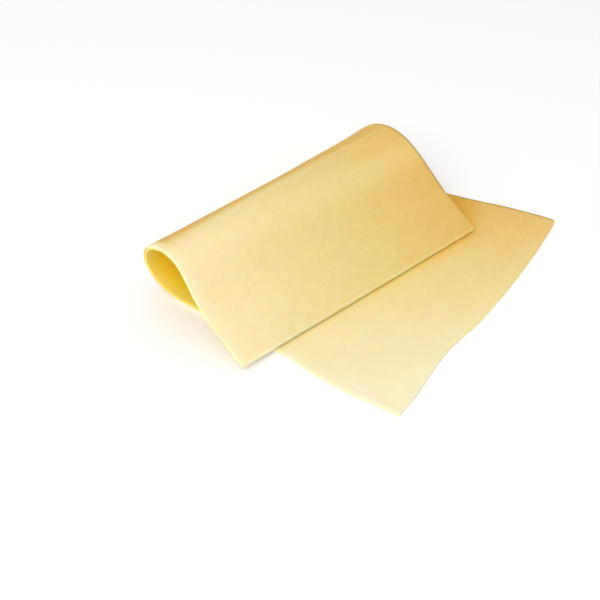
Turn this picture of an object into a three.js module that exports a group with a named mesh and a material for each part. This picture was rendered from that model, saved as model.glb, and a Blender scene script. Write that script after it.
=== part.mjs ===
// A thin rectangular slice of mild yellow cheese, folded over once.
//
// The slice rests on its lower layer. From the lower layer's free edge it runs flat to the fold,
// rises round the crown, and its flap comes back down over the lower layer. The fold leaves a
// tunnel from end to end, and the flap ends about a third of the way short of the lower layer.
//
// Millimetres, +Z up. The fold runs along +Y, with the crown at low X and the free edges at high X.
// The front end is at low Y. The origin is the bottom centre of the bounding box.

import * as THREE from "three";
import { mergeVertices } from "three/addons/utils/BufferGeometryUtils.js";

// The flat slice
const SLICE_LENGTH = 150; // across the fold, from the lower free edge to the flap's free edge
const SLICE_WIDTH = 100; // along the fold, at the lower free edge
const FLAP_NARROWING = 7.3; // how much narrower the slice is at the flap's free edge
const THICKNESS = 1.2;

// The slightly wavy outline that a limp slice has
const FREE_EDGE_BOW = 1.7; // the lower free edge bows out this far
const FREE_EDGE_BOW_LEAN = 1.6; // above 1, the bow's peak lies towards the back
const FREE_EDGE_DENT = { out: -1.35, centre: 26, reach: 20 }; // from the front end
const FREE_EDGE_FADE = 40; // the bow and the dent die out this far into the slice
const FRONT_BULGE = { out: 1.3, centre: 19, reach: 19 }; // on the lower layer's front edge
const BACK_DIP = { out: -4, centre: 42, reach: 38 }; // on the lower layer's back edge

// The fold. Each end of the slice has its own bends, listed from the lower free edge: a bend turns
// the slice by `turn` degrees, centred `at` along it, and spread `over` that length.
const SKEW_DEGREES = 5.8; // between the slice's own width and the fold's line
const FRONT_BENDS = [
  { turn: 160, at: 90.1, over: 44.1 }, // crown
  { turn: 85.9, at: 116.1, over: 26 }, // shoulder
  { turn: -41.2, at: 128.6, over: 24.9 }, // landing
];
const BACK_BENDS = [
  { turn: 134.8, at: 77.1, over: 27.7 },
  { turn: 79, at: 103.4, over: 47 },
  { turn: -10.1, at: 138.9, over: 24.2 },
];

// The mesh
const SEGMENTS_ALONG = 50;
const SEGMENTS_ACROSS = 14;
const STEPS_PER_CURVE = 240;
const NUDGE = 0.01; // for the slopes that give the slice's normal

const SKEW = THREE.MathUtils.degToRad(SKEW_DEGREES);
const WIDTH_DIRECTION = new THREE.Vector3(-Math.sin(SKEW), Math.cos(SKEW), 0);

// 0 to 1 as t goes from 0 to 1, with no jump in slope or curvature at either end.
function ease(t) {
  const x = THREE.MathUtils.clamp(t, 0, 1);
  return x ** 3 * (x * (6 * x - 15) + 10);
}

// A smooth hump: 1 at its centre, 0 from its reach outwards.
function hump(distance, { out, centre, reach }) {
  const x = THREE.MathUtils.clamp((distance - centre) / reach, -1, 1);
  return out * (0.5 + 0.5 * Math.cos(Math.PI * x));
}

// How far the slice has turned from the flat, in radians, at a distance along one of its ends.
function heading(along, bends) {
  let degrees = 0;
  for (const { turn, at, over } of bends) {
    degrees += turn * ease((along - at) / over + 0.5);
  }
  return THREE.MathUtils.degToRad(degrees);
}

// The point reached by walking that distance along one end, from the lower free edge.
function walk(along, bends) {
  const step = along / STEPS_PER_CURVE;
  const point = new THREE.Vector3(0, -Math.sin(SKEW) * along, 0);
  for (let i = 0; i < STEPS_PER_CURVE; i += 1) {
    const angle = heading((i + 0.5) * step, bends);
    point.x -= Math.cos(SKEW) * Math.cos(angle) * step;
    point.z += Math.cos(SKEW) * Math.sin(angle) * step;
  }
  return point;
}

// The slice's middle surface. `along` is in mm, and `across` goes from 0 at the front to 1.
function middle(along, across) {
  const front = walk(along, FRONT_BENDS);
  const back = walk(along, BACK_BENDS);
  back.addScaledVector(WIDTH_DIRECTION, SLICE_WIDTH);
  back.y -= FLAP_NARROWING * (along / SLICE_LENGTH);
  return front.lerp(back, across);
}

// Where a point of the plain rectangle lies once the outline has its waves.
function waved(along, across) {
  const bow = FREE_EDGE_BOW * Math.sin(Math.PI * across ** FREE_EDGE_BOW_LEAN);
  const dent = hump(across * SLICE_WIDTH, FREE_EDGE_DENT);
  const bulge = hump(along, FRONT_BULGE) * (1 - across);
  const dip = hump(along, BACK_DIP) * across;
  return {
    along: along - (bow + dent) * (1 - ease(along / FREE_EDGE_FADE)),
    across: across + (dip - bulge) / SLICE_WIDTH,
  };
}

// A point of the bent slice, `depth` from its middle surface. Depth grows towards the underside
// of the lower layer, which is the outside of the fold.
function bent(flatAlong, flatAcross, depth) {
  const { along, across } = waved(flatAlong, flatAcross);
  const alongSlope = middle(along + NUDGE, across).sub(middle(along - NUDGE, across));
  const acrossSlope = middle(along, across + NUDGE).sub(middle(along, across - NUDGE));
  const normal = alongSlope.cross(acrossSlope).normalize();
  return middle(along, across).addScaledVector(normal, depth);
}

function sliceGeometry() {
  const flat = new THREE.BoxGeometry(
    SLICE_LENGTH, SLICE_WIDTH, THICKNESS, SEGMENTS_ALONG, SEGMENTS_ACROSS, 1,
  );
  flat.deleteAttribute("normal");
  flat.deleteAttribute("uv");
  const geometry = mergeVertices(flat);
  const position = geometry.getAttribute("position");
  for (let i = 0; i < position.count; i += 1) {
    const along = position.getX(i) + SLICE_LENGTH / 2;
    const across = position.getY(i) / SLICE_WIDTH + 0.5;
    const point = bent(along, across, position.getZ(i));
    position.setXYZ(i, point.x, point.y, point.z);
  }
  geometry.computeBoundingBox();
  const box = geometry.boundingBox;
  const centre = box.getCenter(new THREE.Vector3());
  geometry.translate(-centre.x, -centre.y, -box.min.z);
  geometry.computeVertexNormals();
  return geometry;
}

const cheese = new THREE.MeshStandardMaterial({
  color: 0xecd596,
  roughness: 0.5,
  metalness: 0,
});

const slice = new THREE.Mesh(sliceGeometry(), cheese);
slice.name = "cheese_slice";

const part = new THREE.Group();
part.add(slice);

export default part;
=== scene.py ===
"""A thin slice of mild yellow cheese, folded over once, on a plain studio floor.

The slice starts as a flat sheet with thickness and softly rounded cut edges. Its outline is then
waved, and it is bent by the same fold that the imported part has. Everything is in metres in the
part's own frame: +Y along the fold, +X from the crown to the free edges, +Z up. On the flat slice,
`along` runs from the lower layer's free edge to the flap's, and `across` from the front to the back.
"""

import math
from typing import NamedTuple

import bmesh
import bpy
import numpy as np
from bpy.props import FloatProperty, FloatVectorProperty, IntProperty, PointerProperty
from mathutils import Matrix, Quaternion, Vector, noise


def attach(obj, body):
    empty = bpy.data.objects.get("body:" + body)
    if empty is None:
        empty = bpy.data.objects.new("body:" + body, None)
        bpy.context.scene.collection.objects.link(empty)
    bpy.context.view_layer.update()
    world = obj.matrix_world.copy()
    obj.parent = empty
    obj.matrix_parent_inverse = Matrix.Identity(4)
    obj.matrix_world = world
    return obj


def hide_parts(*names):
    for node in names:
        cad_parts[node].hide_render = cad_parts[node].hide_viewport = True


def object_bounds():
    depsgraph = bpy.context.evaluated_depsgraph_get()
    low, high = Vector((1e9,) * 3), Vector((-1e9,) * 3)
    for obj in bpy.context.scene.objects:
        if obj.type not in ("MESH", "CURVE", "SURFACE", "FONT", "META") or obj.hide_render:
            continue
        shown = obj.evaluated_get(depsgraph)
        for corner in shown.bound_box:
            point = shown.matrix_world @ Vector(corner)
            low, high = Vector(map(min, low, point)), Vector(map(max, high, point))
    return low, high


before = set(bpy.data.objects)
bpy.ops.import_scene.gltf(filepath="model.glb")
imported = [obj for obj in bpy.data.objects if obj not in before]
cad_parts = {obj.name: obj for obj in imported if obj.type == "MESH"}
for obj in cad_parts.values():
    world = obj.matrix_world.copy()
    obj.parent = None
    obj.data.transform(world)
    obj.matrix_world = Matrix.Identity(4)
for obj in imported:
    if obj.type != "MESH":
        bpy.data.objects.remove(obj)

bl_info = {
    "name": "Folded cheese slice",
    "version": (1, 0, 0),
    "blender": (4, 5, 0),
    "location": "View3D > Sidebar > Cheese",
    "description": "Builds a thin cheese slice folded over once, and a plain studio for it",
    "category": "Add Mesh",
}

CAD_NODE = "cheese_slice"
CAD_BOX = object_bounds()
MM = 0.001


class Bend(NamedTuple):
    """A stretch of the slice that turns by `turn` degrees, centred `at` and spread `over` (m)."""

    turn: float
    at: float
    over: float


class Hump(NamedTuple):
    """A smooth wave, `out` high at its `centre`, gone at its `reach` (m)."""

    out: float
    centre: float
    reach: float


class Ripple(NamedTuple):
    """Soft noise over the flat slice, with its feature size (m), its share and its seed."""

    size: float
    share: float
    seed: float


class SoftLight(NamedTuple):
    """A square area light: where it is, what it faces, its side (m) and its colour."""

    place: tuple
    target: tuple
    side: float
    colour: tuple


# Each end of the fold has its own bends, listed from the lower free edge: crown, shoulder, landing
FRONT_BENDS = (
    Bend(160.0, 90.1 * MM, 44.1 * MM),
    Bend(85.9, 116.1 * MM, 26.0 * MM),
    Bend(-41.2, 128.6 * MM, 24.9 * MM),
)
BACK_BENDS = (
    Bend(134.8, 77.1 * MM, 27.7 * MM),
    Bend(79.0, 103.4 * MM, 47.0 * MM),
    Bend(-10.1, 138.9 * MM, 24.2 * MM),
)
FRONT_BULGE = Hump(1.3 * MM, 19.0 * MM, 19.0 * MM)
BACK_DIP = Hump(-4.0 * MM, 42.0 * MM, 38.0 * MM)
FREE_EDGE_BOW_LEAN = 1.6  # above 1, the lower free edge bows most towards the back
FREE_EDGE_DENT = Hump(-1.35 * MM, 26.0 * MM, 20.0 * MM)
FREE_EDGE_FADE = 40.0 * MM  # the bow and the dent die out this far into the slice
SLANT_FADE = 4.0 * MM  # the slant of the flap's cut dies out this far into the slice
CURVE_STEPS = 3000  # for the running sum that turns headings into a curve
CURVE_OVERRUN = 0.1  # the curve goes on past both free edges by this share of the length
NUDGE = 0.01 * MM  # for the slopes that give the slice's normal
SEAT_SAMPLES = (301, 41)  # along and across, to find where the bent slice lies

# The flat sheet's mesh
SHARP_EDGE = math.radians(60.0)  # only the edges of the cut faces turn by more than this
ROUNDING_SEGMENTS = 3

# The waver of the cut edges, in and out along each pair of them
WAVER_REACH = 6.0 * MM  # it dies out this far into the slice
WAVER_ALONG = (Ripple(5.0 * MM, 1.0, 3.7), Ripple(2.0 * MM, 0.6, 9.1))
WAVER_ACROSS = (Ripple(5.5 * MM, 1.0, 21.3), Ripple(2.1 * MM, 0.6, 5.9))

# The faint waves of the faces
FACE_WAVES = (Ripple(16.0 * MM, 1.0, 1.3), Ripple(6.0 * MM, 0.5, 7.7))
LIFT_START = 55.0 * MM  # the lower layer lies flat up to here
LIFT_RAMP = 25.0 * MM
FLAT_WAVES = 0.25  # the share of the waves that the lower layer's upper face has

# Painted light and shade: 0 or less where the paste is painted palest, as if lit most, 1 where it is
# most golden with painted shade
SHADE_AT_FRONT = 0.20
SHADE_RISE = 0.75  # painted shade, rising from the front end to the back
LIT_FREE_EDGE = 0.22  # painted light, at the front end of the lower free edge
LIT_FREE_EDGE_FADE = 0.8  # the share of that painted light that is gone at the back end
LIT_FREE_EDGE_DEPTH = 40.0 * MM
LIT_FRONT = 0.12  # painted light along the whole front end
LIT_FRONT_DEPTH = 4.5 * MM
LIT_LIP = 0.08  # more painted light on the outermost stretch of the lower free edge
LIT_LIP_DEPTH = 8.0 * MM
SHOULDER_HIGHLIGHT = Hump(0.18, 117.0 * MM, 9.0 * MM)  # painted highlight on the shoulder, at full strength at the back end only
CUT_RIM = 0.4 * MM  # the colour of a cut face reaches this far in
CUT_SHADE = 0.20  # painted shade: the cut face of the lower free edge is more golden, except at the front end
FLAP_CUT_LIGHT = 0.3  # painted light: the cut face of the flap's free edge is paler

# The painted shade on the outside of the crown, where it turns away from the light
CROWN_START = 66.0 * MM
CROWN_START_RAMP = 26.0 * MM
CROWN_END = 99.5 * MM
CROWN_END_RAMP = 5.0 * MM
CROWN_FRONT_RAMP = 12.0 * MM  # the painted shade reaches this much further down the flap at the front
CROWN_SHADE_LEVEL = 1.4  # beyond 1, the crown's painted shade is as deep as the painted shade inside the fold
CROWN_BACK_FADE = 0.7  # the share of the painted shade that is gone at the back end
CROWN_RIM = 4.5 * MM  # on the flap's side the painted shade dies out this close to the front end
CROWN_RIM_START = 95.0 * MM  # where that starts along the slice
CROWN_RIM_RAMP = 10.0 * MM

# Painted shade where the flap covers the lower layer and inside the fold
COVER_AT_FRONT = 38.5 * MM  # how far in from the lower free edge the cover starts
COVER_SLOPE = -0.245  # towards the back it starts nearer to that edge
COVER_CORNER = 80.0 * MM  # where the flap's back corner stands, measured from the front end
COVER_RETREAT = 0.45  # beyond the corner the cover draws back again
EDGE_SHADE_REACH = 1.2 * MM  # the painted shade reaches this far out from under the flap
EDGE_SHADE_GROWTH = 1.2  # at the back end it reaches this share further
EDGE_SHADE_FRONT = 0.15  # its strength at the flap's edge, at the front end
EDGE_SHADE_BACK = 0.70  # and at the back end
COVER_DEPTH = 8.0 * MM  # the painted shade is at full strength this far under the flap
RIM_FOLD_SHADE = 0.75  # the painted shade's strength at the slice's own edges, where light reaches into the fold
RIM_FADE = 5.0 * MM

# The painted shade along the back end's rim, which turns away from the light
BACK_RIM_SHADE_WIDTH = 1.6 * MM
BACK_RIM_SHADE_END = 130.0 * MM  # it starts to fade here, where the flap comes down
BACK_RIM_SHADE_FADE = 10.0 * MM

# The cheese's finish. Scales are in features per mm.
NOISE_SPAN = (0.3, 0.7)  # nearly all of a noise texture's values lie between these
MOTTLE_SCALE = 0.35
MOTTLE_OIL = 0.05  # the mottle makes the paste this much drier or oilier
FINE_SCALE = 1.6
FINE_SHADE = 0.98  # the darkest of the fine grain
FLECK_SCALE = 0.9
FLECK_SPAN = (0.66, 0.74)
FLECK_STRENGTH = 0.12
SPECK_SCALE = 0.11
SPECK_SPAN = (0.015, 0.04)  # from a speck's middle to its rim
SPECK_STRENGTH = 0.7
SATIN_SPAN = (-0.06, 0.08)  # the mottle's effect on the roughness
BUMP_DEPTH = 0.06 * MM
BUMP_STRENGTH = 0.35
FINE_BUMP = 0.5  # of the fine grain, beside the mottle
LIGHT_REACH = (1.0, 0.62, 0.22)  # red light travels furthest inside the paste, and blue least

# The studio
FLOOR_REACH = 3.0  # from its middle to each side
KEY_LIGHT = SoftLight((0.32, -0.96, 1.00), (0.0, 0.0, 0.01), 1.00, (1.0, 0.98, 0.95))
OVERHEAD_LIGHT = SoftLight((-0.1, 0.0, 1.4), (0.0, 0.0, 0.0), 1.4, (1.0, 0.97, 0.92))
AMBIENT_COLOUR = (1.0, 0.985, 0.96, 1.0)
WHITE = (1.0, 1.0, 1.0, 1.0)
SENSOR_WIDTH = 36.0  # in mm
NEAR_CLIP = 0.01


class SliceSizes(bpy.types.PropertyGroup):
    """Sizes of the flat slice, and how it is folded."""

    length: FloatProperty(
        name="Length", description="Across the fold, cut edge to cut edge",
        default=150.0 * MM, unit="LENGTH",
    )
    width: FloatProperty(
        name="Width", description="Along the fold, at the lower free edge",
        default=100.0 * MM, unit="LENGTH",
    )
    narrowing: FloatProperty(
        name="Narrowing", description="How much narrower the slice is at the flap's free edge",
        default=7.3 * MM, unit="LENGTH",
    )
    thickness: FloatProperty(
        name="Thickness", description="Thickness of the cut", default=1.2 * MM, unit="LENGTH",
    )
    corner_radius: FloatProperty(
        name="Corner radius", description="Rounding of the four corners in outline",
        default=0.8 * MM, unit="LENGTH",
    )
    edge_rounding: FloatProperty(
        name="Edge rounding", description="Softness of the cut edges",
        default=0.3 * MM, unit="LENGTH",
    )
    free_edge_bow: FloatProperty(
        name="Free edge bow", description="How far the lower free edge bows out",
        default=1.7 * MM, unit="LENGTH",
    )
    skew: FloatProperty(
        name="Skew", description="Angle between the slice's width and the fold",
        default=math.radians(5.8), subtype="ANGLE",
    )
    flap_slant: FloatProperty(
        name="Flap slant", description="How far the flap's free cut edge slants out underneath",
        default=0.5 * MM, unit="LENGTH",
    )
    cut_waver: FloatProperty(
        name="Cut waver", description="How far the cut edges stray from a clean line",
        default=0.12 * MM, unit="LENGTH",
    )
    undulation: FloatProperty(
        name="Undulation", description="Height of the faint waves in the slice's faces",
        default=0.06 * MM, unit="LENGTH",
    )
    cells_along: IntProperty(
        name="Cells along", description="Mesh cells across the fold", default=230, min=20,
    )
    cells_across: IntProperty(
        name="Cells across", description="Mesh cells along the fold", default=152, min=12,
    )


class CheeseLook(bpy.types.PropertyGroup):
    """Colours and finish of the cheese."""

    # pale, body and golden are lit and shaded copies of the paste for the painted light and shade;
    # the mottle also moves between them
    pale: FloatVectorProperty(
        name="Pale", description="The paste where it is driest", subtype="COLOR", size=3,
        default=(0.92, 0.84, 0.60),
    )
    body: FloatVectorProperty(
        name="Body", description="The paste halfway between dry and oily", subtype="COLOR", size=3,
        default=(0.87, 0.71, 0.33),
    )
    golden: FloatVectorProperty(
        name="Golden", description="The paste where it is oiliest", subtype="COLOR", size=3,
        default=(0.75, 0.50, 0.12),
    )
    # painted shade inside the fold, at the front end
    fold_shade: FloatVectorProperty(
        name="Moist", description="The paste inside the fold, at the dry front end",
        subtype="COLOR", size=3, default=(0.98, 0.74, 0.055),
    )
    # the deepest painted shade, inside the fold at the back end and on the crown
    deep_shade: FloatVectorProperty(
        name="Moist golden", description="The paste inside the fold, at the oily back end",
        subtype="COLOR", size=3, default=(0.69, 0.36, 0.03),
    )
    # painted shade along the back end's rim
    back_rim_colour: FloatVectorProperty(
        name="Dried rim", description="The browned rim along the back end", subtype="COLOR",
        size=3, default=(0.44, 0.29, 0.08),
    )
    speck: FloatVectorProperty(
        name="Specks", description="The few dark specks", subtype="COLOR", size=3,
        default=(0.42, 0.36, 0.16),
    )
    fleck: FloatVectorProperty(
        name="Flecks", description="The small pale flecks", subtype="COLOR", size=3,
        default=(0.95, 0.86, 0.62),
    )
    roughness: FloatProperty(
        name="Roughness", description="Of the faintly satin faces", default=0.52, min=0.0, max=1.0,
    )
    depth: FloatProperty(
        name="Light depth", description="How far light travels inside the paste",
        default=1.6 * MM, unit="LENGTH",
    )


class StudioSettings(bpy.types.PropertyGroup):
    """The floor, the lights and the camera."""

    floor: FloatVectorProperty(
        name="Floor", description="Colour of the plain floor", subtype="COLOR", size=3,
        default=(0.945, 0.955, 0.975),
    )
    floor_glow: FloatProperty(
        name="Floor glow", description="How strongly the floor is lit from below", default=0.08,
    )
    key_power: FloatProperty(
        name="Key light", description="Power of the large front light in watts", default=10.4,
    )
    fill_power: FloatProperty(
        name="Fill light", description="Power of the overhead light in watts", default=4.0,
    )
    ambient: FloatProperty(
        name="Ambient", description="Strength of the even surrounding light", default=0.55,
    )
    camera: FloatVectorProperty(
        name="Camera", description="Where the camera stands", subtype="TRANSLATION", size=3,
        default=(103.4 * MM, -138.0 * MM, 139.3 * MM),
    )
    aim: FloatVectorProperty(
        name="Aim", description="Where on the floor the camera looks", subtype="TRANSLATION",
        size=3, default=(-5.0 * MM, -25.8 * MM, 0.0),
    )
    roll: FloatProperty(
        name="Roll", description="Tilt of the camera about its own line of sight",
        default=math.radians(-2.3), subtype="ANGLE",
    )
    lens: FloatProperty(
        name="Lens", description="Focal length on a 36 mm sensor, in mm", default=42.4,
    )


# --- The slice's shape -----------------------------------------------------------------------


def ease(t):
    """0 to 1 as t goes from 0 to 1, with no jump in slope or curvature at either end."""
    x = np.clip(t, 0.0, 1.0)
    return x**3 * (x * (6.0 * x - 15.0) + 10.0)


def wave(distance, hump):
    """The height of an outline wave at a distance along the edge."""
    x = np.clip((distance - hump.centre) / hump.reach, -1.0, 1.0)
    return hump.out * (0.5 + 0.5 * np.cos(np.pi * x))


def heading(along, bends):
    """How far one end of the slice has turned from the flat, in radians."""
    turned = sum(bend.turn * ease((along - bend.at) / bend.over + 0.5) for bend in bends)
    return np.radians(turned)


def end_curve(along, bends, sizes):
    """Points of one end of the slice at those distances from the lower free edge."""
    overrun = CURVE_OVERRUN * sizes.length
    steps = np.linspace(-overrun, sizes.length + overrun, CURVE_STEPS)
    angle = heading((steps[1:] + steps[:-1]) / 2.0, bends)
    step = steps[1] - steps[0]
    run = np.concatenate([[0.0], np.cumsum(np.cos(angle) * step)])
    rise = np.concatenate([[0.0], np.cumsum(np.sin(angle) * step)])
    run -= np.interp(0.0, steps, run)
    points = np.empty((*np.shape(along), 3))
    points[..., 0] = -math.cos(sizes.skew) * np.interp(along, steps, run)
    points[..., 1] = -math.sin(sizes.skew) * along
    points[..., 2] = math.cos(sizes.skew) * np.interp(along, steps, rise)
    return points


def middle(along, across, sizes):
    """The bent slice's middle surface. `across` goes from 0 at the front end to 1."""
    front = end_curve(along, FRONT_BENDS, sizes)
    back = end_curve(along, BACK_BENDS, sizes)
    back[..., 0] -= math.sin(sizes.skew) * sizes.width
    back[..., 1] += math.cos(sizes.skew) * sizes.width
    back[..., 1] -= sizes.narrowing * along / sizes.length
    return front + (back - front) * across[..., None]


def waved(along, across, sizes):
    """Where points of the plain rectangle lie once the outline has its waves."""
    bow = sizes.free_edge_bow * np.sin(np.pi * np.clip(across, 0.0, 1.0) ** FREE_EDGE_BOW_LEAN)
    bow = bow + wave(across * sizes.width, FREE_EDGE_DENT)
    shift = wave(along, BACK_DIP) * across - wave(along, FRONT_BULGE) * (1.0 - across)
    return along - bow * (1.0 - ease(along / FREE_EDGE_FADE)), across + shift / sizes.width


def bent(along, across, height, sizes):
    """Points of the bent slice, `height` from its middle on the lower layer's upper side."""
    share = NUDGE / sizes.width
    along_slope = middle(along + NUDGE, across, sizes) - middle(along - NUDGE, across, sizes)
    across_slope = middle(along, across + share, sizes) - middle(along, across - share, sizes)
    normal = np.cross(across_slope, along_slope)
    normal /= np.linalg.norm(normal, axis=-1, keepdims=True)
    return middle(along, across, sizes) + normal * height[..., None]


def seat(sizes):
    """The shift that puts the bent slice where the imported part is."""
    along, across = np.meshgrid(*(np.linspace(0.0, 1.0, count) for count in SEAT_SAMPLES))
    along, across = waved(along * sizes.length, across, sizes)
    half = np.full(along.shape, sizes.thickness / 2.0)
    both = np.concatenate([bent(along, across, side * half, sizes) for side in (-1.0, 1.0)])
    low, high = both.min(axis=(0, 1)), both.max(axis=(0, 1))
    cad_low, cad_high = (np.array(corner) for corner in CAD_BOX)
    shift = (cad_low + cad_high - low - high) / 2.0
    shift[2] = cad_low[2] - low[2]
    return shift


def round_corners(along, across, sizes):
    """Bends the corner cells of the rectangle into quarter circles."""
    radius = sizes.corner_radius
    from_middle_along = along - sizes.length / 2.0
    from_middle_across = across * sizes.width - sizes.width / 2.0
    past_along = np.abs(from_middle_along) - (sizes.length / 2.0 - radius)
    past_across = np.abs(from_middle_across) - (sizes.width / 2.0 - radius)
    inside = (past_along > 0.0) & (past_across > 0.0)
    reach = np.hypot(past_along, past_across)
    scale = np.maximum(past_along, past_across) / np.where(inside, reach, 1.0)
    pull = np.where(inside, 1.0 - scale, 0.0)
    along = along - np.sign(from_middle_along) * past_along * pull
    across = across - np.sign(from_middle_across) * past_across * pull / sizes.width
    return along, across


def noise_over(along, flat_y, ripples):
    """The sum of some ripples at points of the flat slice. A ripple runs from -share to share."""
    total = np.zeros(along.shape)
    for ripple in ripples:
        flat = zip(along / ripple.size, flat_y / ripple.size)
        values = [noise.noise(Vector((u, v, ripple.seed))) for u, v in flat]
        total += ripple.share * np.array(values)
    return total


def flat_slice(sizes):
    """The slice before it is folded: a sheet with thickness and softly rounded cut edges."""
    bm = bmesh.new()
    bmesh.ops.create_grid(
        bm, x_segments=sizes.cells_along, y_segments=sizes.cells_across, size=0.5,
    )
    bmesh.ops.scale(bm, vec=(sizes.length, sizes.width, 1.0), verts=bm.verts)
    bmesh.ops.solidify(bm, geom=bm.faces[:], thickness=sizes.thickness)
    bmesh.ops.translate(bm, vec=(sizes.length / 2.0, sizes.width / 2.0, 0.0), verts=bm.verts)
    middle_height = sum(vert.co.z for vert in bm.verts) / len(bm.verts)
    bmesh.ops.translate(bm, vec=(0.0, 0.0, -middle_height), verts=bm.verts)
    bmesh.ops.recalc_face_normals(bm, faces=bm.faces)
    rims = [edge for edge in bm.edges if edge.calc_face_angle(0.0) > SHARP_EDGE]
    bmesh.ops.bevel(
        bm, geom=rims, offset=sizes.edge_rounding, segments=ROUNDING_SEGMENTS, profile=0.5,
        affect="EDGES", material=-1, clamp_overlap=True,
    )
    bmesh.ops.recalc_face_normals(bm, faces=bm.faces)
    mesh = bpy.data.meshes.new(CAD_NODE)
    bm.to_mesh(mesh)
    bm.free()
    return mesh


def inset_from_cut(along, across, sizes):
    """How far a point lies in from the nearest cut edge."""
    from_free_edges = np.minimum(along, sizes.length - along)
    from_ends = np.minimum(across, 1.0 - across) * sizes.width
    return np.minimum(from_free_edges, from_ends)


def painted_shading(along, across, height, sizes):
    """Painted light and shade over the slice, up to about 1, and up to 1.4 on the crown.

    It is palest, as painted light, at the front end of the lower layer's free edge, and most
    golden, as painted shade, at the back. The outside of the crown has deeper painted shade,
    and the shoulder below it a painted highlight.
    """
    back = np.clip(across, 0.0, 1.0)
    # painted shade, deeper towards the back end
    tone = SHADE_AT_FRONT + SHADE_RISE * back
    # painted light near the lower free edge and along the front end
    free_edge_light = LIT_FREE_EDGE * (1.0 - LIT_FREE_EDGE_FADE * back)
    tone -= free_edge_light * (1.0 - ease(along / LIT_FREE_EDGE_DEPTH))
    tone -= LIT_LIP * (1.0 - ease(along / LIT_LIP_DEPTH))
    tone -= LIT_FRONT * (1.0 - ease(back * sizes.width / LIT_FRONT_DEPTH))
    # painted highlight on the shoulder
    tone -= back * wave(along, SHOULDER_HIGHLIGHT)
    # painted shade on the lower free edge's cut face
    tone += CUT_SHADE * np.sqrt(back) * (1.0 - ease(along / CUT_RIM))
    # painted light on the flap's free cut face
    tone -= FLAP_CUT_LIGHT * (1.0 - ease((sizes.length - along) / CUT_RIM))
    # painted shade on the outside of the crown
    return tone + (CROWN_SHADE_LEVEL - tone) * crown_shade(along, back, height, sizes)


def crown_shade(along, back, height, sizes):
    """Painted shade: 1 on the outside of the crown, fading out towards the back and into both
    layers.
    """
    end_ramp = CROWN_END_RAMP + CROWN_FRONT_RAMP * (1.0 - back) ** 3
    crown = ease((along - CROWN_START) / CROWN_START_RAMP)
    crown = crown * (1.0 - ease((along - CROWN_END) / end_ramp))
    rim = 1.0 - ease(back * sizes.width / CROWN_RIM)
    rim = rim * ease((along - CROWN_RIM_START) / CROWN_RIM_RAMP)
    crown = crown * (1.0 - rim)
    crown = crown * (1.0 - CROWN_BACK_FADE * back**2)
    return np.where(height < 0.0, crown, 0.0)


def painted_fold_shade(along, across, height, sizes):
    """Painted shade: 1 on the slice's inner face where the fold shades it, and 0 where it lies open.
    """
    from_front = across * sizes.width
    past_corner = np.maximum(from_front - COVER_CORNER, 0.0)
    cover = COVER_AT_FRONT + COVER_SLOPE * np.minimum(from_front, COVER_CORNER)
    cover = cover + COVER_RETREAT * past_corner
    back = np.clip(across, 0.0, 1.0)
    shade_at_edge = EDGE_SHADE_FRONT + (EDGE_SHADE_BACK - EDGE_SHADE_FRONT) * back
    shade_spread = EDGE_SHADE_REACH * (1.0 + EDGE_SHADE_GROWTH * back**4)
    outside = shade_at_edge * np.exp(-np.maximum(cover - along, 0.0) / shade_spread)
    under = np.minimum(along - cover, sizes.length - along) / COVER_DEPTH
    inside = shade_at_edge + (1.0 - shade_at_edge) * ease(under)
    inset = inset_from_cut(along, across, sizes)
    rim = RIM_FOLD_SHADE + (1.0 - RIM_FOLD_SHADE) * ease(inset / RIM_FADE)
    return np.where(height > 0.0, np.where(along < cover, outside, inside * rim), 0.0)


def back_rim_shade(along, across, sizes):
    """Painted shade: 1 at the back end's edge, fading out into the faces and where the flap comes
    down.
    """
    from_back = (1.0 - across) * sizes.width
    landing = ease((along - BACK_RIM_SHADE_END) / BACK_RIM_SHADE_FADE)
    return (1.0 - ease(from_back / BACK_RIM_SHADE_WIDTH)) * (1.0 - landing)


def face_waves(along, flat_y, height, sizes):
    """How far the faces stray from flat. The underside that rests on the floor doesn't."""
    lifted = ease((along - LIFT_START) / LIFT_RAMP)
    strength = sizes.undulation * (FLAT_WAVES + (1.0 - FLAT_WAVES) * lifted)
    resting = np.where(height > 0.0, 1.0, lifted)
    return noise_over(along, flat_y, FACE_WAVES) * strength * resting


def set_point_values(mesh, name, values):
    """Stores one number for each vertex under a name that the material reads."""
    attribute = mesh.attributes.new(name, "FLOAT", "POINT")
    attribute.data.foreach_set("value", np.ascontiguousarray(values, dtype=np.float32))


def fold_slice(mesh, sizes):
    """Moves the flat mesh's vertices into the outline, the faint waves and the fold."""
    points = np.empty(len(mesh.vertices) * 3)
    mesh.vertices.foreach_get("co", points)
    points = points.reshape(-1, 3)
    along, across, height = points[:, 0], points[:, 1] / sizes.width, points[:, 2]

    # painted light and shade over the slice, kept for each vertex
    set_point_values(mesh, "painted_shading", painted_shading(along, across, height, sizes))
    # painted shade in the fold and just outside the flap's edge
    set_point_values(mesh, "painted_fold_shade", painted_fold_shade(along, across, height, sizes))
    # painted shade along the back end's rim
    set_point_values(mesh, "back_rim_shade", back_rim_shade(along, across, sizes))

    along, across = round_corners(along, across, sizes)
    flat_y = across * sizes.width
    waver = sizes.cut_waver * (1.0 - ease(inset_from_cut(along, across, sizes) / WAVER_REACH))
    waver_along = waver * noise_over(along, flat_y, WAVER_ALONG)
    waver_across = waver * noise_over(along, flat_y, WAVER_ACROSS)
    towards_inside = height / sizes.thickness + 0.5  # 1 on the face that turns inwards in the fold
    slant = ease((along - sizes.length) / SLANT_FADE + 1.0) * sizes.flap_slant * towards_inside
    along, across = waved(along, across, sizes)
    along = along + waver_along + slant
    across = across + waver_across / sizes.width
    height = height + face_waves(along, flat_y, height, sizes)

    folded = bent(along, across, height, sizes) + seat(sizes)
    mesh.vertices.foreach_set("co", folded.ravel())
    mesh.flip_normals()  # `along` runs towards -X, so the fold mirrors the flat slice
    mesh.update()


# --- The cheese's finish ---------------------------------------------------------------------


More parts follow.
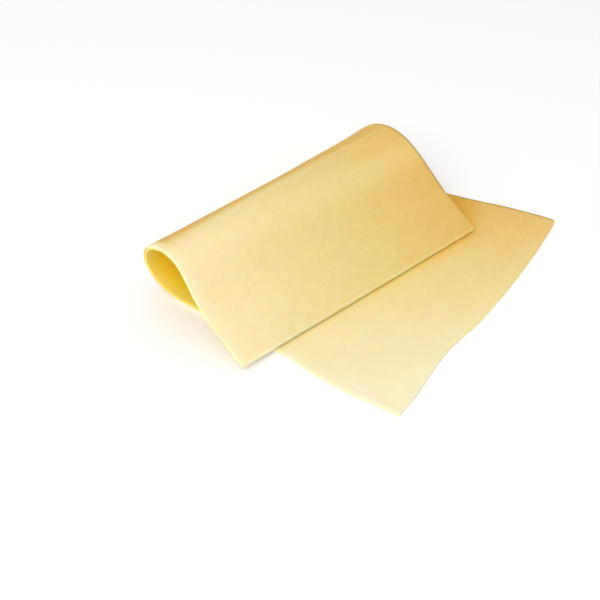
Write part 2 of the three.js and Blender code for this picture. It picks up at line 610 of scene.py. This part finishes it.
class Tree:
    """Builds a node tree from nodes with their inputs already fed."""

    # A Mix node has sockets of the same name for each kind of data, so its colours go by number
    MIX_FACTOR, MIX_LOW, MIX_HIGH, MIX_RESULT = 0, 6, 7, 2

    def __init__(self, tree):
        self.tree = tree
        tree.nodes.clear()

    def node(self, kind, **settings):
        """A node with its settings and the values or links of its inputs."""
        made = self.tree.nodes.new(kind)
        inputs = settings.pop("inputs", {})
        for name, value in settings.items():
            setattr(made, name, value)
        for name, value in inputs.items():
            self.feed(made.inputs[name], value)
        return made

    def feed(self, socket, value):
        """Links an output to a socket, or sets the socket's own value."""
        if isinstance(value, bpy.types.NodeSocket):
            self.tree.links.new(value, socket)
        else:
            socket.default_value = value

    def mix(self, factor, low, high, blend="MIX"):
        """One colour mixed with another."""
        made = self.node("ShaderNodeMix", data_type="RGBA", blend_type=blend)
        self.feed(made.inputs[self.MIX_FACTOR], factor)
        self.feed(made.inputs[self.MIX_LOW], low)
        self.feed(made.inputs[self.MIX_HIGH], high)
        return made.outputs[self.MIX_RESULT]

    def ramp(self, value, start, end, low=0.0, high=1.0):
        """A value between start and end, stretched to lie between low and high."""
        made = self.node(
            "ShaderNodeMapRange", interpolation_type="LINEAR",
            inputs={
                "Value": value, "From Min": start, "From Max": end,
                "To Min": low, "To Max": high,
            },
        )
        return made.outputs["Result"]

    def math(self, operation, first, second):
        """A sum, product or the like of two values."""
        made = self.node("ShaderNodeMath", operation=operation)
        self.feed(made.inputs[0], first)
        self.feed(made.inputs[1], second)
        return made.outputs[0]


def opaque(colour):
    """A colour with full alpha."""
    return (*colour, 1.0)


def cheese_material(look):
    """Pale, faintly satin paste with painted light and shade, a soft mottle, a fine grain, pale
    flecks and a few specks.
    """
    material = bpy.data.materials.new("mild_cheese")
    material.use_nodes = True
    tree = Tree(material.node_tree)
    place = tree.node("ShaderNodeTexCoord").outputs["Object"]
    in_mm = tree.node(
        "ShaderNodeMapping", inputs={"Vector": place, "Scale": (1.0 / MM,) * 3},
    ).outputs["Vector"]

    def grain(scale, detail, roughness):
        """Soft noise all through the paste."""
        made = tree.node(
            "ShaderNodeTexNoise",
            inputs={"Vector": in_mm, "Scale": scale, "Detail": detail, "Roughness": roughness},
        )
        return made.outputs["Fac"]

    def reading(name):
        """A value that the mesh holds for each of its vertices."""
        return tree.node("ShaderNodeAttribute", attribute_name=name).outputs["Fac"]

    mottle = grain(MOTTLE_SCALE, detail=3.0, roughness=0.6)
    fine = grain(FINE_SCALE, detail=2.0, roughness=0.5)

    tone_change = tree.ramp(mottle, *NOISE_SPAN, -MOTTLE_OIL, MOTTLE_OIL)
    # painted light and shade, moved a little by the mottle, picks among the lit pale, the body and
    # the shaded golden paste
    tone = tree.math("ADD", reading("painted_shading"), tone_change)
    colour = tree.mix(tree.ramp(tone, 0.0, 0.5), opaque(look.pale), opaque(look.body))
    colour = tree.mix(tree.ramp(tone, 0.5, 1.0), colour, opaque(look.golden))
    # deepest where the crown's painted shade goes past 1
    colour = tree.mix(tree.ramp(tone, 1.0, CROWN_SHADE_LEVEL), colour, opaque(look.deep_shade))
    deep_share = tree.ramp(tone, SHADE_AT_FRONT, 1.0)
    # painted shade inside the fold and just outside the flap's edge
    fold_shade = tree.mix(deep_share, opaque(look.fold_shade), opaque(look.deep_shade))
    colour = tree.mix(reading("painted_fold_shade"), colour, fold_shade)
    # painted shade along the back end's rim
    colour = tree.mix(reading("back_rim_shade"), colour, opaque(look.back_rim_colour))

    flecks = grain(FLECK_SCALE, detail=1.0, roughness=0.5)
    fleck = tree.ramp(flecks, *FLECK_SPAN, 0.0, FLECK_STRENGTH)
    colour = tree.mix(fleck, colour, opaque(look.fleck))
    shade = tree.ramp(fine, *NOISE_SPAN, FINE_SHADE, 1.0)
    grey = tree.node(
        "ShaderNodeCombineColor", inputs={"Red": shade, "Green": shade, "Blue": shade},
    ).outputs["Color"]
    colour = tree.mix(1.0, colour, grey, "MULTIPLY")
    dots = tree.node(
        "ShaderNodeTexVoronoi", inputs={"Vector": in_mm, "Scale": SPECK_SCALE, "Randomness": 1.0},
    )
    speck = tree.ramp(dots.outputs["Distance"], *SPECK_SPAN, SPECK_STRENGTH, 0.0)
    colour = tree.mix(speck, colour, opaque(look.speck))

    smoothest, roughest = (look.roughness + change for change in SATIN_SPAN)
    roughness = tree.ramp(mottle, *NOISE_SPAN, smoothest, roughest)
    height = tree.math("ADD", tree.math("MULTIPLY", fine, FINE_BUMP), mottle)
    bump = tree.node(
        "ShaderNodeBump",
        inputs={"Strength": BUMP_STRENGTH, "Distance": BUMP_DEPTH, "Height": height},
    )
    shader = tree.node(
        "ShaderNodeBsdfPrincipled",
        inputs={
            "Base Color": colour,
            "Roughness": roughness,
            "Normal": bump.outputs["Normal"],
            "Subsurface Weight": 1.0,
            "Subsurface Radius": LIGHT_REACH,
            "Subsurface Scale": look.depth,
            "Specular IOR Level": 0.32,
            "IOR": 1.45,
        },
    )
    tree.node("ShaderNodeOutputMaterial", inputs={"Surface": shader.outputs["BSDF"]})
    return material


class MESH_OT_folded_cheese_slice(bpy.types.Operator):
    """Build the folded cheese slice in place of the plain solid"""

    bl_idname = "mesh.folded_cheese_slice"
    bl_label = "Folded Cheese Slice"
    bl_options = {"REGISTER", "UNDO"}

    def execute(self, context):
        sizes = context.scene.slice_sizes
        mesh = flat_slice(sizes)
        fold_slice(mesh, sizes)
        mesh.shade_smooth()
        mesh.materials.append(cheese_material(context.scene.cheese_look))
        piece = bpy.data.objects.new("folded_slice", mesh)
        context.scene.collection.objects.link(piece)
        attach(piece, "root")
        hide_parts(CAD_NODE)
        return {"FINISHED"}


# --- The studio ------------------------------------------------------------------------------


def add_floor(scene, colour, shade_at_edge):
    """A wide plain floor at the height that the slice rests on, faintly lit from below."""
    bm = bmesh.new()
    bmesh.ops.create_grid(bm, x_segments=1, y_segments=1, size=FLOOR_REACH)
    mesh = bpy.data.meshes.new("studio_floor")
    bm.to_mesh(mesh)
    bm.free()
    material = bpy.data.materials.new("plain_floor")
    material.use_nodes = True
    tree = Tree(material.node_tree)
    shader = tree.node(
        "ShaderNodeBsdfPrincipled",
        inputs={
            "Base Color": opaque(colour),
            "Roughness": 0.8,
            "Specular IOR Level": 0.2,
            "Emission Color": WHITE,
            "Emission Strength": shade_at_edge,
        },
    )
    tree.node("ShaderNodeOutputMaterial", inputs={"Surface": shader.outputs["BSDF"]})
    mesh.materials.append(material)
    floor = bpy.data.objects.new("studio_floor", mesh)
    scene.collection.objects.link(floor)


def add_area_light(scene, name, light, power):
    """A soft light of that power in watts, turned to face its target."""
    data = bpy.data.lights.new(name, "AREA")
    data.shape = "SQUARE"
    data.size = light.side
    data.energy = power
    data.color = light.colour
    lamp = bpy.data.objects.new(name, data)
    lamp.location = light.place
    beam = Vector(light.target) - Vector(light.place)
    lamp.rotation_mode = "QUATERNION"
    lamp.rotation_quaternion = beam.to_track_quat("-Z", "Y")
    scene.collection.objects.link(lamp)


def add_camera(scene, studio):
    """The camera, looking down on the slice from in front of its free edges."""
    data = bpy.data.cameras.new("studio_camera")
    data.sensor_width = SENSOR_WIDTH
    data.lens = studio.lens
    data.clip_start = NEAR_CLIP
    camera = bpy.data.objects.new("studio_camera", data)
    sight = Vector(studio.aim) - Vector(studio.camera)
    camera.location = studio.camera
    camera.rotation_mode = "QUATERNION"
    level = sight.to_track_quat("-Z", "Y")
    camera.rotation_quaternion = level @ Quaternion((0.0, 0.0, 1.0), studio.roll)
    scene.collection.objects.link(camera)
    scene.camera = camera


def set_ambient(scene, strength):
    """Even, slightly warm light from all round."""
    world = bpy.data.worlds.new("studio_ambient")
    world.use_nodes = True
    tree = Tree(world.node_tree)
    background = tree.node(
        "ShaderNodeBackground", inputs={"Color": AMBIENT_COLOUR, "Strength": strength},
    )
    tree.node("ShaderNodeOutputWorld", inputs={"Surface": background.outputs["Background"]})
    scene.world = world


class SCENE_OT_cheese_studio(bpy.types.Operator):
    """Set up the plain floor, the soft lights and the camera"""

    bl_idname = "scene.cheese_studio"
    bl_label = "Plain Studio"
    bl_options = {"REGISTER", "UNDO"}

    def execute(self, context):
        scene = context.scene
        studio = scene.cheese_studio_settings
        add_floor(scene, studio.floor, studio.floor_glow)
        add_area_light(scene, "key_light", KEY_LIGHT, studio.key_power)
        add_area_light(scene, "overhead_light", OVERHEAD_LIGHT, studio.fill_power)
        set_ambient(scene, studio.ambient)
        add_camera(scene, studio)
        scene.view_settings.view_transform = "Standard"
        return {"FINISHED"}


class VIEW3D_PT_folded_cheese_slice(bpy.types.Panel):
    """Lists the operators and their settings"""

    bl_label = "Folded Cheese Slice"
    bl_space_type = "VIEW_3D"
    bl_region_type = "UI"
    bl_category = "Cheese"

    def draw(self, context):
        scene = context.scene
        for operator, groups in (
            (MESH_OT_folded_cheese_slice, (scene.slice_sizes, scene.cheese_look)),
            (SCENE_OT_cheese_studio, (scene.cheese_studio_settings,)),
        ):
            box = self.layout.box()
            box.operator(operator.bl_idname)
            for settings in groups:
                for name in settings.__annotations__:
                    box.prop(settings, name)


CLASSES = (
    SliceSizes,
    CheeseLook,
    StudioSettings,
    MESH_OT_folded_cheese_slice,
    SCENE_OT_cheese_studio,
    VIEW3D_PT_folded_cheese_slice,
)


def register():
    """Registers the classes and hangs the settings on the scene."""
    for cls in CLASSES:
        bpy.utils.register_class(cls)
    bpy.types.Scene.slice_sizes = PointerProperty(type=SliceSizes)
    bpy.types.Scene.cheese_look = PointerProperty(type=CheeseLook)
    bpy.types.Scene.cheese_studio_settings = PointerProperty(type=StudioSettings)


def unregister():
    """Takes the settings and the classes away again."""
    del bpy.types.Scene.cheese_studio_settings
    del bpy.types.Scene.cheese_look
    del bpy.types.Scene.slice_sizes
    for cls in reversed(CLASSES):
        bpy.utils.unregister_class(cls)


def main():
    """Builds the slice and its studio."""
    register()
    bpy.ops.mesh.folded_cheese_slice()
    bpy.ops.scene.cheese_studio()


if __name__ == "__main__":
    main()
